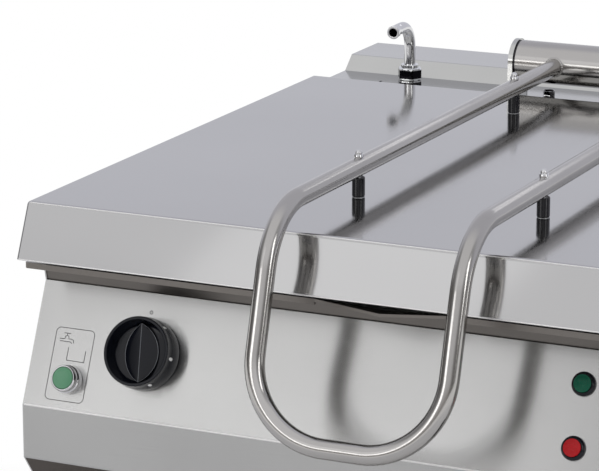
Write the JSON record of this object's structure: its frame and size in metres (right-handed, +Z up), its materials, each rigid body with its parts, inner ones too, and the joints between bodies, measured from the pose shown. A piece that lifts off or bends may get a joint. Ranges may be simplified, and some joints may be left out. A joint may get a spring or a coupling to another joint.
{
  "type": "bratt pan",
  "caption": "Free-standing electric bratt pan: a wide shallow pan under a balanced lid with a looped tube handle, a sloping control panel, a water tap and a tilting hand wheel.",
  "frame": {"origin": "on the floor, in the middle of the whole footprint, handle included", "axes": "+X to the right as seen by the cook, +Y to the back, +Z up"},
  "size_m": [0.8, 1.02, 0.9635],
  "materials": {
    "satin_steel": "satin brushed stainless steel",
    "lid_steel": "fine satin stainless steel, softly reflecting",
    "tube_steel": "polished and lightly brushed tube",
    "chrome": "chromed, mirror gloss",
    "zinc_steel": "galvanised",
    "pan_steel": "ground stainless steel",
    "mild_steel": "dark mild steel",
    "element_sheath": "heat-tinted sheath",
    "mineral_wool": "matt fibre",
    "black_plastic": "glossy black",
    "black_sleeve": "glossy black sleeve",
    "green_cap": "green cap, satin gloss",
    "green_lens": "green faceted lens",
    "red_lens": "red faceted lens",
    "brass": "machined",
    "copper": "drawn tube",
    "bronze_bush": "sintered bronze",
    "grey_plastic": "moulded housing",
    "cream_plastic": "ceramic-like moulding"
  },
  "bodies": {
    "cabinet": {"hinge_bracket": "satin_steel", "hinge_shaft": "tube_steel", "hinge_bolts": "chrome", "balance_spring": "mild_steel", "rear_top": "satin_steel", "pan": "pan_steel", "pan_base_plate": "mild_steel", "heating_elements": "element_sheath", "element_clamp_bars": "zinc_steel", "pan_insulation": "mineral_wool", "heater_cover": "zinc_steel", "trunnions": "pan_steel", "trunnion_bushes": "bronze_bush", "trunnion_bearings": "mild_steel", "tilt_lever": "zinc_steel", "tilt_links": "zinc_steel", "tilt_nut": "bronze_bush", "spindle_bearings": "mild_steel", "frame_tubes": "zinc_steel", "floor_tray": "zinc_steel", "side_panel_left": "satin_steel", "side_panel_right": "satin_steel", "back_panel": "satin_steel", "front_cover": "satin_steel", "front_apron": "satin_steel", "control_panel": "satin_steel", "leg_sleeves": "satin_steel", "feet": "satin_steel", "panel_screws": "chrome", "thermostat": "cream_plastic", "button_bezel": "chrome", "button_switch": "black_plastic", "lamp_bezels": "black_plastic", "lamp_lens_green": "green_lens", "lamp_lens_red": "red_lens", "lamp_holders": "black_plastic", "tap_nut": "chrome", "tap_tail": "brass", "supply_pipe": "copper", "water_valve": "brass", "cable_gland": "black_plastic", "terminal_block": "cream_plastic", "contactors": "grey_plastic"},
    "lid": {"lid_shell": "lid_steel", "lid_stiffeners": "zinc_steel", "lid_liner": "satin_steel", "lid_handle": "tube_steel", "handle_standoffs": "black_sleeve", "handle_studs": "chrome", "handle_nuts": "chrome", "hinge_tube": "tube_steel", "hinge_bushes": "black_sleeve"},
    "knob": {"thermostat_knob": "black_plastic", "knob_shaft": "chrome"},
    "water_button": {"button_cap": "green_cap"},
    "spout": {"tap_spout": "chrome"},
    "tilt_wheel": {"hand_wheel": "black_plastic", "tilt_spindle": "zinc_steel"},
    "wheel_handle": {"wheel_grip": "black_plastic"}
  },
  "joints": [
    {"name": "lid_open", "type": "hinge", "parent": "cabinet", "child": "lid", "pos_m": [0, 0.36687, 0.9286], "axis": [-1, 0, 0], "range_deg": [0, 85]},
    {"name": "knob_turn", "type": "hinge", "parent": "cabinet", "child": "knob", "pos_m": [-0.2698, -0.3821, 0.75029], "axis": [0, 0.9121, -0.4099], "range_deg": [0, 300]},
    {"name": "button_press", "type": "slide", "parent": "cabinet", "child": "water_button", "axis": [0, 0.9121, -0.4099], "range_m": [0, 0.004], "stiffness_N_per_m": 500, "springref_m": -0.002},
    {"name": "spout_swivel", "type": "hinge", "parent": "cabinet", "child": "spout", "pos_m": [-0.3065, 0.39054, 0.888], "axis": [0, 0, 1], "range_deg": [-90, 90]},
    {"name": "wheel_turn", "type": "hinge", "parent": "cabinet", "child": "tilt_wheel", "pos_m": [0.29, -0.37996, 0.515], "axis": [0, 1, 0], "continuous": true},
    {"name": "grip_spin", "type": "hinge", "parent": "tilt_wheel", "child": "wheel_handle", "pos_m": [0.29, -0.42996, 0.585], "axis": [0, 1, 0], "continuous": true}
  ]
}
